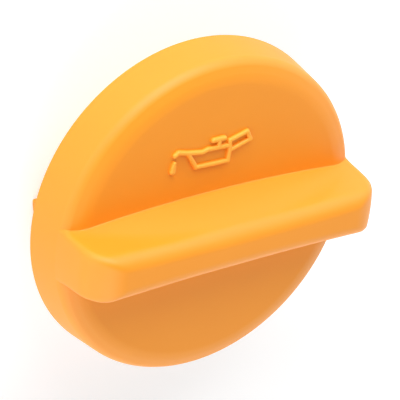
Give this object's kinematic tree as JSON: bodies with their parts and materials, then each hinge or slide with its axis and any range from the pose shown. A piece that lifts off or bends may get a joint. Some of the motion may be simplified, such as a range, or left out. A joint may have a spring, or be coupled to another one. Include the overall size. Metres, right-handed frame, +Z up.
{
  "type": "oil filler cap",
  "caption": "Round moulded oil filler cap with a full-width grip bar, a skirt, a hollow bayonet stem and a flat rubber seal ring.",
  "frame": {"origin": "on the cap's axis, at the end of its stem, which is what it stands on", "axes": "+Z up along the axis, out of the face; +X along the grip bar; +Y towards the half of the face that carries the oil can sign"},
  "size_m": [0.07, 0.07, 0.0377],
  "materials": {
    "cap_plastic": "satin moulded glass-filled nylon, orange",
    "seal_rubber": "matt black nitrile rubber"
  },
  "bodies": {
    "root": {"cap": "cap_plastic", "seal_ring": "seal_rubber"}
  },
  "joints": []
}
